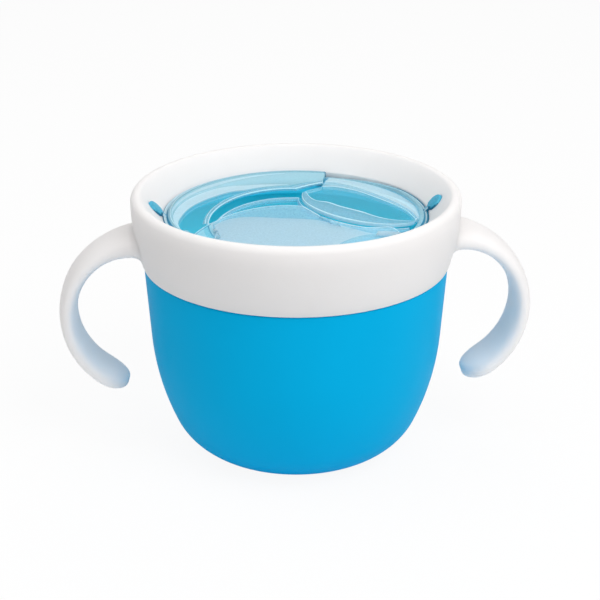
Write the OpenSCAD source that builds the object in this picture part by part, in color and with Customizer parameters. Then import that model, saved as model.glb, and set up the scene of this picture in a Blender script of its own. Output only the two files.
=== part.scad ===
// Toddler snack cup: round-bottomed bowl, screw-on collar with two open handles, and soft overlapping flaps
// Millimetres, +Z up, origin at the middle of the base, handles along X

/* [Cup] */
// Height of the cup's outside up to the shoulder under the collar
cup_h = 54; // [45:1:70]
// Outer radius of the cup at the shoulder
cup_r = 41; // [36:0.5:50]
// Draft of the straight upper wall, degrees
cup_taper = 3.96; // [2:0.1:6]
// Radius of the long curve of the side
side_arc_r = 70.1; // [55:1:90]
// Turn of the long curve of the side, degrees
side_arc_turn = 19.9; // [14:1:24]
// Radius of the curve between side and base
base_arc_r = 16.8; // [12:0.5:22]
// Wall of the cup
cup_wall = 2.2; // [1.6:0.1:3]
// Depth of the moulded recess under the base
foot_recess = 0.6; // [0.3:0.1:1]
// Width of the foot ring round the recess
foot_w = 3.4; // [2:0.1:6]

/* [Neck and thread] */
// Height of the neck above the shoulder
neck_h = 6.5; // [6:0.1:9]
// Wall of the neck
neck_wall = 1.6; // [1.2:0.1:2]
// How far the neck stands back from the cup's outside
neck_step = 2.3; // [2.2:0.05:2.8]
// Radial depth of a thread lug on the cup
lug_depth = 1.2; // [1:0.05:1.4]
// Height of a thread lug
lug_h = 1.4; // [1:0.1:1.5]
// Length of a thread lug round the neck, degrees
lug_turn = 30; // [20:1:36]
// Rise of the collar in one full turn
thread_lead = 16; // [12:1:20]
// Number of thread starts
thread_starts = 4; // [4:1:4]

/* [Collar] */
// How far the collar's lower edge stands out past the cup
foot_lap = 0.2; // [0:0.05:0.4]
// How far the rolled rim stands out past the collar's lower edge
collar_flare = 2.8; // [2:0.1:4]
// Radius of the rolled rim's edge
rim_edge_r = 1.72; // [1.2:0.02:2.2]
// How far the mouth stands in from the inside of the cup's neck
mouth_step = 1.5; // [1.2:0.1:3]
// Height of the rim above the mouth's edge
slope_h = 6.3; // [5:0.1:8]
// Height of the mouth's upright edge
ledge_h = 1.6; // [1.2:0.1:2.4]
// Wall of the collar's skirt and slope
collar_wall = 1.8; // [1.4:0.1:2.2]
// Gap between the collar's lower edge and the cup's shoulder
join_gap = 0.15; // [0.1:0.05:0.3]

/* [Handles] */
// Height above the shoulder at which a handle's centre line leaves the collar
handle_root_h = 6.5; // [5:0.1:9]
// Level stretch of a handle's centre line outside the collar's lower edge
handle_stub = 0.6; // [0:0.1:4]
// Radius of the handle's upper bend
bend_up_r = 20; // [16:0.5:26]
// Radius of the handle's lower bend
bend_low_r = 22; // [18:0.5:28]
// Thickness of the handle
handle_t = 4.8; // [4:0.1:6]
// Width of the handle
handle_w = 15.4; // [12:0.1:18]
// Extra thickness at the root
root_t = 2.4; // [1:0.1:3]
// Extra width at the root
root_w = 3.6; // [1:0.1:5]
// Extra thickness towards the tip
tip_t = 0.8; // [0:0.1:1.2]
// Length over which the tip is rounded off
tip_round = 7.6; // [6:0.1:9]
// Angle where the free tip ends, degrees below the level
tip_angle = 73; // [60:1:80]

/* [Flaps] */
// Height of the rigid ring that holds the flap rings up
retainer_h = 2.5; // [2:0.1:4]
// Thickness of the flange of a flap ring
ring_t = 1.1; // [0.9:0.1:1.4]
// Thickness of the upright lip of a flap ring
lip_t = 0.65; // [0.5:0.05:0.8]
// Thickness of a flap
flap_t = 0.9; // [0.7:0.05:1]
// Rise of the flaps from rim to crown
dome_rise = 4.6; // [3:0.1:5]
// Step between one layer of flaps and the next
layer_step = 1.3; // [1.25:0.05:1.4]
// Gap along a flap's free edge and fold
slit_gap = 0.4; // [0.3:0.05:0.6]
// Gap seen from above between flaps of different layers, which pass each other as they fold
pass_gap = 2.2; // [2:0.1:2.6]
// Gap seen from above between the inner flap and the leaf flap, whose tip swings past it
swing_gap = 2.8; // [2.6:0.1:3.2]
// Width of an anchor tab
tab_w = 2.6; // [2:0.1:3.4]
// Reach of an anchor tab up the collar's slope
tab_len = 5.2; // [4:0.1:5.6]
// Thickness of an anchor tab
tab_t = 0.9; // [0.6:0.05:1]

/* [Clearances] */
// Running clearance between parts that turn on each other
run_gap = 0.1; // [0.05:0.01:0.15]
// Radial clearance of the thread
thread_gap = 0.3; // [0.25:0.05:0.35]
// Gap round an anchor tab in its recess
tab_gap = 0.2; // [0.1:0.05:0.3]
// Gap between two soft rings that lie on each other
stack_gap = 0.05; // [0.02:0.01:0.08]

/* [Hidden] */
$fn = 180;
sphere_fn = 360;
arc_steps = 14;

// small chamfers and overlaps
edge = 0.4;
past = 1;

// cup profile: straight drafted wall, long arc, base arc, all tangent
low_angle = cup_taper + side_arc_turn;
side_cz = base_arc_r + (side_arc_r - base_arc_r) * sin(low_angle);
side_top_z = side_cz - side_arc_r * sin(cup_taper);
side_top_r = cup_r - (cup_h - side_top_z) * tan(cup_taper);
side_cx = side_top_r - side_arc_r * cos(cup_taper);
base_cx = side_cx + (side_arc_r - base_arc_r) * cos(low_angle);
neck_r = cup_r - neck_step;
neck_inner_r = neck_r - neck_wall;
neck_blend = 4.2;

// rings of the mouth, from the neck inwards
mouth_r = neck_inner_r - mouth_step;
ring_inset = 0.35;
ring_outer_r = neck_r - ring_inset;
upper_lip_r = mouth_r - run_gap;
dome_r = upper_lip_r - lip_t / 2;
lower_lip_r = upper_lip_r - lip_t - run_gap;
flap_r = lower_lip_r - lip_t - 2 * slit_gap;
dome_radius = (dome_r ^ 2 + dome_rise ^ 2) / (2 * dome_rise);

// heights above the shoulder of what lies on the neck, from the neck up
retainer_base = neck_h + run_gap;
retainer_top = retainer_base + retainer_h;
lower_ring_top = retainer_top + run_gap + ring_t;
upper_ring_top = lower_ring_top + stack_gap + ring_t;
clamp_h = upper_ring_top + stack_gap;
mouth_h = clamp_h + ledge_h;
collar_h = mouth_h + slope_h;

// collar profile
collar_foot_r = cup_r + foot_lap;
collar_r = collar_foot_r + collar_flare;
rim_cx = collar_r - rim_edge_r;
rim_cz = collar_h - rim_edge_r;
skirt_cr = (collar_flare ^ 2 + rim_cz ^ 2) / (2 * collar_flare);
slope_reach = norm([rim_cx - mouth_r, rim_cz - mouth_h]);
slope_angle = atan2(rim_cz - mouth_h, rim_cx - mouth_r) + asin(rim_edge_r / slope_reach);
rib_r = ring_outer_r + run_gap;
rib_wall = 1.2;
rib_base = neck_h + 1.3;
cavity_top_z = mouth_h + (rib_r + rib_wall - mouth_r) * tan(slope_angle) - collar_wall / cos(slope_angle);

// thread
cup_lug_r = neck_r + lug_depth;
foot_inner_r = cup_lug_r + thread_gap;
lug_root = 0.4;
lug_drop = 0.8;
first_lug_angle = 45;
lead_angle = atan(thread_lead / (2 * PI * neck_r));
cup_lug_z = cup_h + neck_h - lug_drop - lug_h;
collar_lug_h = lug_h + 0.1;
collar_lug_z = cup_lug_z - (lug_h + collar_lug_h) / 2 - thread_gap - stack_gap;
collar_lug_r = neck_r + thread_gap;

// handle
handle_cx = collar_foot_r + handle_stub;
handle_z = cup_h + handle_root_h - bend_up_r;
handle_sides = 20;
handle_rings = 30;
root_angle = 90;
flare_angle = 46;
section_power = 2.5;

// flap edges, as arcs and slits seen from above, drawn for a mouth of radius drawn_r
drawn_r = 35.6;
fit = mouth_r / drawn_r;
far = 2 * mouth_r;
crescent_c = fit * [-3.3, -13.3];
crescent_r = fit * 20.2;
leaf_c = fit * [18.6, 3.4];
leaf_r = fit * 16.8;
front_c = fit * [-5.9, -34.5];
front_r = fit * 27.9;
front_right_foot = fit * [[0, -9], [27, -16.5], [40, -24], [40, -45], [-4, -45]];
slit_back = fit * [0.4, 6.5];
slit_corner = fit * [8.4, 14.6];
slit_back_angle = 70;
slit_shift = [pass_gap / 3, -pass_gap / 4];
slit_left_angle = 227;
slit_right_angle = -12;

// the fold lines, each from its left end to its right end as seen from the mouth's middle
left_fold = [fit * [-20.6, -3.2], polar(dome_r, slit_back_angle + 1)];
left_foot_y = fit * -8;
left_fold_side = [left_fold[0], left_fold[1], [far, far], [far, left_foot_y], [left_fold[0][0], left_foot_y]];
right_fold = [polar(lower_lip_r, slit_back_angle), polar(lower_lip_r, slit_right_angle)];
front_fold_angle = 267.5;
front_fold_mid = polar(fit * 19.7, front_fold_angle);
front_fold = [front_fold_mid + polar(1, front_fold_angle + 90), front_fold_mid];

// a ring of points on an arc, from angle a to angle b
function arc(cx, cz, r, a, b, steps = arc_steps) =
    [for (i = [0:steps]) let (t = a + (b - a) * i / steps) [cx + r * cos(t), cz + r * sin(t)]];

function polar(r, a) = [r * cos(a), r * sin(a)];

// the turn round the mouth's edge that spans a gap, degrees
function gap_turn(gap) = gap * 180 / (PI * mouth_r);

// the collar's outside radius at a height above the shoulder
function skirt_r(z) = collar_r - skirt_cr + sqrt(skirt_cr ^ 2 - (rim_cz - z) ^ 2);

// the cup's outside, or with inset > 0 its inside, from the axis up to height top
function cup_side(inset, top) = concat(
    [[0, inset]],
    arc(base_cx, base_arc_r, base_arc_r - inset, -90, -low_angle),
    arc(side_cx, side_cz, side_arc_r - inset, -low_angle, -cup_taper),
    [[cup_r - inset / cos(cup_taper) - (cup_h - top) * tan(cup_taper), top]]
);

// one thread lug: a short ring segment leaning at the thread's lead angle, its middle at azimuth 0
module lug(inner_r, outer_r, h) {
    rotate([lead_angle, 0, 0])
        rotate([0, 0, -lug_turn / 2])
            rotate_extrude(angle = lug_turn)
                translate([inner_r, -h / 2]) square([outer_r - inner_r, h]);
}

module lugs(z, inner_r, outer_r, h) {
    for (i = [0:thread_starts - 1])
        rotate([0, 0, first_lug_angle + i * 360 / thread_starts])
            translate([0, 0, z]) lug(inner_r, outer_r, h);
}

module cup() {
    color("deepskyblue") {
        difference() {
            rotate_extrude() polygon(concat(
                cup_side(0, cup_h),
                [[neck_r, cup_h], [neck_r, cup_h + neck_h - edge], [neck_r - edge, cup_h + neck_h],
                 [0, cup_h + neck_h]]
            ));
            rotate_extrude() polygon(concat(
                cup_side(cup_wall, cup_h - neck_blend),
                [[neck_inner_r, cup_h - edge], [neck_inner_r, cup_h + neck_h + past],
                 [0, cup_h + neck_h + past]]
            ));
            translate([0, 0, -past]) cylinder(r = base_cx - foot_w, h = past + foot_recess);
        }
        lugs(cup_lug_z, neck_r - lug_root, cup_lug_r, lug_h);
    }
}

function bulge(c) = sign(c) * abs(c) ^ (2 / section_power);
function bend_r(t) = t > 0 ? bend_up_r : bend_low_r;
// the centre line at angle t round the bends, 90 where it leaves the collar and 0 at its widest
function handle_point(t) =
    [handle_cx + bend_up_r - bend_r(t) * (1 - cos(t)), handle_z + bend_r(t) * sin(t)];
function flare(t) = t > flare_angle ? ((t - flare_angle) / (root_angle - flare_angle)) ^ 2 : 0;
// distance from the tip's end along the bend, as a share of the rounding
function tip_share(t) = min(1, (t + tip_angle) * PI / 180 * bend_low_r / tip_round);
function tip_close(t) = sqrt(max(0, 1 - (1 - tip_share(t)) ^ 2));
function half_t(t) = (handle_t + root_t * flare(t) + tip_t * max(0, -t / tip_angle)) / 2 * tip_close(t) ^ 0.5;
function half_w(t) = (handle_w + root_w * flare(t)) / 2 * tip_close(t);
// the ring's place round the bends; rings lie closer together towards the tip
function ring_angle(i) = root_angle - (root_angle + tip_angle - 0.35) * sin(90 * i / handle_rings);
// the ring of points of the section at angle t, moved inwards by sunk
function handle_ring(t, sunk = 0) = let (c = handle_point(t), n = [cos(t), sin(t)])
    [for (j = [0:handle_sides - 1])
        let (a = 360 * j / handle_sides, u = half_t(t) * bulge(cos(a)), v = half_w(t) * bulge(sin(a)))
            [c[0] + u * n[0] - sunk, v, c[1] + u * n[1]]];

module handle() {
    // the first ring lies inside the collar's wall
    rings = concat([handle_ring(root_angle, handle_stub + collar_wall)],
        [for (i = [0:handle_rings]) handle_ring(ring_angle(i))]);
    points = [for (r = rings) each r];
    last = (len(rings) - 1) * handle_sides;
    walls = [for (i = [0:len(rings) - 2], j = [0:handle_sides - 1])
        let (a = i * handle_sides + j, b = i * handle_sides + (j + 1) % handle_sides)
            each [[a, b, b + handle_sides], [a, b + handle_sides, a + handle_sides]]];
    ends = [[for (j = [handle_sides - 1:-1:0]) j], [for (j = [0:handle_sides - 1]) last + j]];
    polyhedron(points, concat(walls, ends));
}

// a strip on the collar's inner slope, from the mouth outwards, sunk into the slope by depth
module slope_strip(w, len, depth, proud) {
    translate([mouth_r, 0, cup_h + mouth_h]) rotate([0, -slope_angle, 0])
        translate([0, 0, -depth]) {
            translate([-past, -w / 2, 0]) cube([len + past - w / 2, w, depth + proud]);
            translate([len - w / 2, 0, 0]) cylinder(d = w, h = depth + proud);
        }
}

module collar() {
    color("white") difference() {
        union() {
            translate([0, 0, cup_h]) rotate_extrude() polygon(concat(
                [[foot_inner_r - past, join_gap]],
                arc(collar_r - skirt_cr, rim_cz, skirt_cr, -asin((rim_cz - join_gap) / skirt_cr), 0),
                arc(rim_cx, rim_cz, rim_edge_r, 12, 90 + slope_angle, 10),
                [[mouth_r, mouth_h], [mouth_r, clamp_h], [rib_r, clamp_h]]
            ));
            for (side = [0, 180]) rotate([0, 0, side]) handle();
        }
        // the cavity behind the skirt, round the rib that holds the flap rings
        translate([0, 0, cup_h]) rotate_extrude() polygon([
            [0, -past], [foot_inner_r, -past], [foot_inner_r, join_gap + edge],
            [skirt_r(clamp_h) - collar_wall, clamp_h],
            [skirt_r(cavity_top_z) - collar_wall - edge, cavity_top_z],
            [rib_r + rib_wall + edge, cavity_top_z], [rib_r + rib_wall, cavity_top_z - edge],
            [rib_r + rib_wall, rib_base], [rib_r, rib_base], [rib_r, clamp_h], [0, clamp_h]
        ]);
        for (side = [0, 180]) rotate([0, 0, side])
            slope_strip(tab_w + 2 * tab_gap, tab_len + tab_gap, tab_t + tab_gap / 2, 2 * past);
    }
    color("white") intersection() {
        lugs(collar_lug_z, collar_lug_r, collar_foot_r, collar_lug_h);
        translate([0, 0, cup_h]) cylinder(r = collar_foot_r, h = clamp_h);
    }
}

module retainer_ring() {
    color("whitesmoke") translate([0, 0, cup_h]) rotate_extrude() polygon([
        [lower_lip_r, retainer_base + edge], [lower_lip_r + edge, retainer_base],
        [ring_outer_r - edge, retainer_base], [ring_outer_r, retainer_base + edge],
        [ring_outer_r, retainer_top], [lower_lip_r, retainer_top]
    ]);
}

// one layer of the domed skin, 0 at the top, cut to the outline given as children
module skin(layer) {
    crown = cup_h + mouth_h - layer * layer_step + dome_rise;
    intersection() {
        difference() {
            translate([0, 0, crown - dome_radius]) sphere(r = dome_radius, $fn = sphere_fn);
            translate([0, 0, crown - dome_radius]) sphere(r = dome_radius - flap_t, $fn = sphere_fn);
        }
        translate([0, 0, cup_h]) linear_extrude(collar_h) children();
    }
}

// the plane beyond a line through p and q, on its left side, kept back by gap
module beyond(p, q, gap = 0) {
    translate(p) rotate(atan2(q[1] - p[1], q[0] - p[0])) translate([-far, gap]) square([2 * far, far]);
}

// the wedge of the mouth between two azimuths, less than half a turn apart
module wedge(a, b) {
    polygon([[0, 0], polar(far, a), polar(far, (2 * a + b) / 3), polar(far, (a + 2 * b) / 3), polar(far, b)]);
}

// the crescent flap's outline, grown by gap on its free edge and left end
module crescent_outline(gap = 0) {
    turn = slit_left_angle + 2 * gap_turn(gap) - slit_back_angle;
    difference() {
        polygon(concat([crescent_c, slit_back, slit_corner],
            [for (i = [0:3]) polar(far, slit_back_angle + i / 3 * turn)]));
        translate(crescent_c) circle(r = crescent_r - gap);
    }
}

// the leaf flap's outline, grown by gap on its free edges
module leaf_outline(gap = 0) {
    difference() {
        union() {
            translate(leaf_c) circle(r = leaf_r + gap);
            wedge(slit_right_angle - gap_turn(gap), slit_back_angle);
        }
        // keeps clear of the crescent's slit and corner
        polygon([slit_back + slit_shift, slit_corner + slit_shift, polar(far, slit_back_angle) + slit_shift,
            [-far, far], [-far, crescent_c[1]], crescent_c]);
    }
}

module front_outline() {
    difference() {
        union() {
            translate(front_c) circle(r = front_r);
            polygon(front_right_foot);
        }
        leaf_outline(pass_gap);
        crescent_outline(slit_gap);
    }
}

module inner_outline() {
    difference() {
        union() {
            translate(crescent_c) circle(r = crescent_r - pass_gap);
            wedge(slit_left_angle + gap_turn(pass_gap), 360 + slit_right_angle - gap_turn(pass_gap));
        }
        leaf_outline(swing_gap);
    }
}

module upper_flap_ring() {
    color("lightskyblue") {
        translate([0, 0, cup_h]) rotate_extrude() polygon([
            [upper_lip_r - lip_t, upper_ring_top - ring_t], [ring_outer_r, upper_ring_top - ring_t],
            [ring_outer_r, upper_ring_top], [upper_lip_r, upper_ring_top],
            [upper_lip_r, mouth_h], [upper_lip_r - lip_t, mouth_h]
        ]);
        skin(0) intersection() {
            circle(r = dome_r);
            union() {
                difference() {
                    crescent_outline();
                    offset(delta = slit_gap / 2) polygon(left_fold_side);
                }
                intersection() {
                    front_outline();
                    beyond(front_fold[0], front_fold[1], slit_gap / 2);
                }
            }
        }
        for (side = [0, 180]) rotate([0, 0, side]) slope_strip(tab_w, tab_len, tab_t, 0);
    }
}

module lower_flap_ring() {
    color("deepskyblue") {
        translate([0, 0, cup_h]) rotate_extrude() polygon([
            [lower_lip_r - lip_t, lower_ring_top - ring_t], [ring_outer_r, lower_ring_top - ring_t],
            [ring_outer_r, lower_ring_top], [lower_lip_r, lower_ring_top],
            [lower_lip_r, mouth_h - layer_step], [lower_lip_r - lip_t, mouth_h - layer_step]
        ]);
        skin(1) intersection() {
            circle(r = lower_lip_r - lip_t / 2);
            leaf_outline();
            beyond(right_fold[0], right_fold[1], slit_gap / 2);
        }
        skin(2) intersection() {
            circle(r = lower_lip_r - lip_t / 2);
            inner_outline();
            beyond(front_fold[0], front_fold[1], slit_gap / 2);
        }
    }
}

module front_flap() {
    color("skyblue") skin(0) difference() {
        intersection() {
            circle(r = flap_r);
            front_outline();
        }
        beyond(front_fold[0], front_fold[1], -slit_gap / 2);
    }
}

module left_flap() {
    color("powderblue") skin(0) intersection() {
        circle(r = flap_r);
        crescent_outline();
        offset(delta = -slit_gap / 2) polygon(left_fold_side);
    }
}

module right_flap() {
    color("lightblue") skin(1) difference() {
        intersection() {
            circle(r = flap_r);
            leaf_outline();
        }
        beyond(right_fold[0], right_fold[1], -slit_gap / 2);
    }
}

module inner_flap() {
    color("steelblue") skin(2) difference() {
        intersection() {
            circle(r = flap_r);
            inner_outline();
        }
        beyond(front_fold[0], front_fold[1], -slit_gap / 2);
    }
}

cup();
collar();
retainer_ring();
upper_flap_ring();
lower_flap_ring();
front_flap();
left_flap();
right_flap();
inner_flap();
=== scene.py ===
# Toddler snack cup: round bowl, screw-on collar with two open handles, soft clear flaps over the mouth
import bmesh
import bpy
import math
from mathutils import Matrix, Vector


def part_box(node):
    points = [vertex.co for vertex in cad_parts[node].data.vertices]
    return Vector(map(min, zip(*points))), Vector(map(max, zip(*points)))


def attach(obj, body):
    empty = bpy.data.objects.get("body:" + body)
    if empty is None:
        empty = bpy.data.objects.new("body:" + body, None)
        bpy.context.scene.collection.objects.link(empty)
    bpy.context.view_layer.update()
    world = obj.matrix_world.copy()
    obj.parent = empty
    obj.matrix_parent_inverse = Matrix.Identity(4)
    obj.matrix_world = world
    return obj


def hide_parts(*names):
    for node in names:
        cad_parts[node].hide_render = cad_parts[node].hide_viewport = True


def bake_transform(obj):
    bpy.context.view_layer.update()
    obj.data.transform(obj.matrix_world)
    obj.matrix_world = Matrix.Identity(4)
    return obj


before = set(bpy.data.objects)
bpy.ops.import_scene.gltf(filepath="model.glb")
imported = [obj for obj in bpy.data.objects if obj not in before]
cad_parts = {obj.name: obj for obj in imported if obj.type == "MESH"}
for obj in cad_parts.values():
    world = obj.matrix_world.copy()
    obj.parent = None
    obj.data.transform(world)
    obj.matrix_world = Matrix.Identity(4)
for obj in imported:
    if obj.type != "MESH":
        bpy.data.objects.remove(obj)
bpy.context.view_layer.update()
print("frame loaded")

mm = 0.001  # shapes are drawn in millimetres and scaled when their piece is made
tidyGap = 0.0005  # points nearer than this are one point, mm
sharpTurn = 38  # edges that turn by more degrees than this stay crisp

# heights that the pieces share
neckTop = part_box("cup")[1].z / mm
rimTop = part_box("collar")[1].z / mm
joinGap = 0.15  # between the cup's shoulder and the collar's foot
neckHeight = 6.5
shoulder = neckTop - neckHeight


# Small tools for outlines

def polar(radius, angle):
    turn = math.radians(angle)
    return (radius * math.cos(turn), radius * math.sin(turn))


def arc(centre, radius, start, end, steps=14):
    angles = [start + (end - start) * i / steps for i in range(steps + 1)]
    return [(centre[0] + polar(radius, a)[0], centre[1] + polar(radius, a)[1]) for a in angles]


def rimArc(radius, start, end, steps=40):
    return arc((0, 0), radius, start, end, steps)


def roundOff(corners, steps=4):
    # each corner is (x, z, radius); without a radius it stays sharp
    outline = []
    for i, corner in enumerate(corners):
        here = Vector(corner[:2])
        radius = corner[2] if len(corner) > 2 else 0
        if not radius:
            outline.append(tuple(here))
            continue
        back = (Vector(corners[i - 1][:2]) - here).normalized()
        on = (Vector(corners[(i + 1) % len(corners)][:2]) - here).normalized()
        half = back.angle(on) / 2
        centre = here + (back + on).normalized() * radius / math.sin(half)
        first = (here + back * radius / math.tan(half) - centre).normalized()
        last = (here + on * radius / math.tan(half) - centre).normalized()
        outline += [tuple(centre + first.slerp(last, k / steps) * radius) for k in range(steps + 1)]
    return outline


def smoothPath(points, steps=8):
    # a soft curve through the points, in plan
    ends = [Vector(points[0])] + [Vector(p) for p in points] + [Vector(points[-1])]
    path = []
    for a, b, c, d in zip(ends, ends[1:], ends[2:], ends[3:]):
        for k in range(steps):
            t = k / steps
            path.append(tuple(0.5 * (2 * b + (c - a) * t + (2 * a - 5 * b + 4 * c - d) * t ** 2
                                     + (3 * b - a - 3 * c + d) * t ** 3)))
    return path + [tuple(points[-1])]


def evenly(points, count):
    # the same line with count equal steps along its length
    lengths = [0]
    for a, b in zip(points, points[1:]):
        lengths.append(lengths[-1] + math.dist(a, b))
    even, k = [], 0
    for i in range(count + 1):
        wanted = lengths[-1] * i / count
        while k < len(points) - 2 and lengths[k + 1] < wanted:
            k += 1
        share = (wanted - lengths[k]) / max(lengths[k + 1] - lengths[k], 1e-9)
        even.append(Vector(points[k]).lerp(Vector(points[k + 1]), min(max(share, 0), 1)))
    return even


def between(first, second, share, steps=48):
    # the line that lies a share of the way from the first line to the second
    pairs = zip(evenly(first, steps), evenly(second, steps))
    return [a.lerp(b, share(i / steps)) for i, (a, b) in enumerate(pairs)]


# Small tools for meshes

def spinShape(bm, outline, start=0, turn=360, steps=180, rise=0):
    # turns a closed outline in the XZ plane about Z, and closes its ends if the turn isn't full
    known = set(bm.verts)
    verts = [bm.verts.new((x, 0, z)) for x, z in outline]
    pairs = [(verts[i - 1], verts[i]) for i in range(len(verts))]
    edges = [bm.edges.new(p) for p in pairs if p[0].co.x > tidyGap or p[1].co.x > tidyGap]
    bmesh.ops.rotate(bm, verts=verts, cent=(0, 0, 0), matrix=Matrix.Rotation(math.radians(start), 3, "Z"))
    bmesh.ops.spin(bm, geom=verts + edges, cent=(0, 0, 0), axis=(0, 0, 1), dvec=(0, 0, rise / steps),
                   angle=math.radians(turn), steps=steps, use_merge=turn == 360, use_duplicate=False)
    made = [v for v in bm.verts if v not in known]
    if turn != 360:
        ends = [e for e in bm.edges if e.is_boundary and e.verts[0] not in known]
        bmesh.ops.holes_fill(bm, edges=ends, sides=0)
    bmesh.ops.remove_doubles(bm, verts=made, dist=tidyGap)
    return [v for v in bm.verts if v not in known]


def loftLoops(bm, loops):
    # skins closed loops of points, one after the other, and caps both ends
    verts = [bm.verts.new(p) for p in loops[0]]
    edges = [bm.edges.new((verts[i - 1], verts[i])) for i in range(len(verts))]
    bmesh.ops.contextual_create(bm, geom=edges)
    for loop in loops[1:]:
        made = bmesh.ops.extrude_edge_only(bm, edges=edges)["geom"]
        fresh = {v for v in made if isinstance(v, bmesh.types.BMVert)}
        edges = [e for e in made if isinstance(e, bmesh.types.BMEdge)]
        verts = [next(e.other_vert(v) for e in v.link_edges if e.other_vert(v) in fresh) for v in verts]
        for vert, place in zip(verts, loop):
            vert.co = place
    bmesh.ops.contextual_create(bm, geom=edges)


def placeShape(name, bm):
    # puts a drawn shape into the scene
    mesh = bpy.data.meshes.new(name)
    bm.to_mesh(mesh)
    bm.free()
    placed = bpy.data.objects.new(name, mesh)
    bpy.context.scene.collection.objects.link(placed)
    return placed


def endPoints(part):
    return sorted(v.index for v in part.verts)


def settleShape(bm):
    # lists all parts in one order, which an extrusion can change from run to run, and turns faces outwards
    for parts, place in ((bm.verts, lambda v: v.co[:]), (bm.edges, endPoints), (bm.faces, endPoints)):
        rank = {part: i for i, part in enumerate(sorted(parts, key=place))}
        parts.sort(key=lambda part: rank[part])
        parts.index_update()
    bmesh.ops.recalc_face_normals(bm, faces=bm.faces)


def makePiece(name, bm, materials, body=None, replaces=(), sharpAngle=sharpTurn, modifiers=()):
    # turns a drawn shape into a finished object, and says what it is part of
    if not modifiers:
        settleShape(bm)  # a sheet's faces are set already
    bmesh.ops.scale(bm, vec=(mm, mm, mm), verts=bm.verts)
    piece = placeShape(name, bm)
    for material in materials:
        piece.data.materials.append(material)
    for kind, settings in modifiers:
        modifier = piece.modifiers.new(kind.title(), kind)
        for key, value in settings.items():
            setattr(modifier, key, value)
    applyModifiers(piece)
    piece.data.polygons.foreach_set("use_smooth", [True] * len(piece.data.polygons))
    piece.data.set_sharp_from_angle(angle=math.radians(sharpAngle))
    if replaces:
        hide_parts(*replaces)
    if body:
        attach(piece, body)
    print("made", name)
    return piece


def applyModifiers(piece):
    # settles the modifiers into the mesh
    if not piece.modifiers:
        return
    bpy.context.view_layer.update()
    settled = bpy.data.meshes.new_from_object(piece.evaluated_get(bpy.context.evaluated_depsgraph_get()))
    piece.modifiers.clear()
    piece.data = settled


# Small tools for materials

noiseLow, noiseHigh = 0.3, 0.7  # nearly all of a noise pattern lies between these
moulded = {"ior": 1.49, "roughnessSpread": 0.05, "bump": 0.2, "grainDepth": 0.02}

def hexToLinear(code):
    channels = [int(code[i:i + 2], 16) / 255 for i in (1, 3, 5)]
    return [c / 12.92 if c <= 0.04045 else ((c + 0.055) / 1.055) ** 2.4 for c in channels] + [1]


def addNode(tree, kind, settings=None, inputs=None):
    node = tree.nodes.new(kind)
    for key, value in (settings or {}).items():
        setattr(node, key, value)
    for key, value in (inputs or {}).items():
        if isinstance(value, bpy.types.NodeSocket):
            tree.links.new(value, node.inputs[key])
        else:
            node.inputs[key].default_value = value
    return node


def newTree(name):
    material = bpy.data.materials.new(name)
    material.use_nodes = True
    material.node_tree.nodes.clear()
    return material, material.node_tree


def mouldedPlastic(name, look):
    # injection-moulded polypropylene: satin skin with a fine spark-eroded grain and a slow tone drift
    material, tree = newTree(name)
    place = addNode(tree, "ShaderNodeTexCoord").outputs["Object"]
    grain = addNode(tree, "ShaderNodeTexNoise", inputs={
        "Vector": place, "Scale": 1 / (look["grain"] * mm), "Detail": 3, "Roughness": 0.6})
    drift = addNode(tree, "ShaderNodeTexNoise", inputs={
        "Vector": place, "Scale": 1 / (look["drift"] * mm), "Detail": 2})
    colour = addNode(tree, "ShaderNodeMix", {"data_type": "RGBA"}, {
        0: drift.outputs["Fac"], 6: hexToLinear(look["colourLow"]), 7: hexToLinear(look["colourHigh"])})
    rough = addNode(tree, "ShaderNodeMapRange", inputs={
        "Value": grain.outputs["Fac"], "From Min": noiseLow, "From Max": noiseHigh,
        "To Min": look["roughness"] - moulded["roughnessSpread"],
        "To Max": look["roughness"] + moulded["roughnessSpread"]})
    bump = addNode(tree, "ShaderNodeBump", inputs={
        "Strength": moulded["bump"], "Distance": moulded["grainDepth"] * mm, "Height": grain.outputs["Fac"]})
    shader = addNode(tree, "ShaderNodeBsdfPrincipled", inputs={
        "Base Color": colour.outputs[2], "Roughness": rough.outputs["Result"],
        "IOR": moulded["ior"], "Specular IOR Level": look["specular"], "Normal": bump.outputs["Normal"],
        "Subsurface Weight": look["through"]})
    if look["through"]:
        shader.inputs["Subsurface Radius"].default_value = look["throughReach"]
        shader.inputs["Subsurface Scale"].default_value = look["throughDepth"] * mm
    addNode(tree, "ShaderNodeOutputMaterial", inputs={"Surface": shader.outputs["BSDF"]})
    return material


film = {
    "grainDepth": 0.02, "rippleStrength": 0.25, "edgeOn": 5, "faceOn": 0.04, "reflection": "#CFF3FC",
    "litThrough": 0.25, "bloomRoughness": 0.5, "bloomSpecular": 0.3, "ior": 1.45,
}


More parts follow.
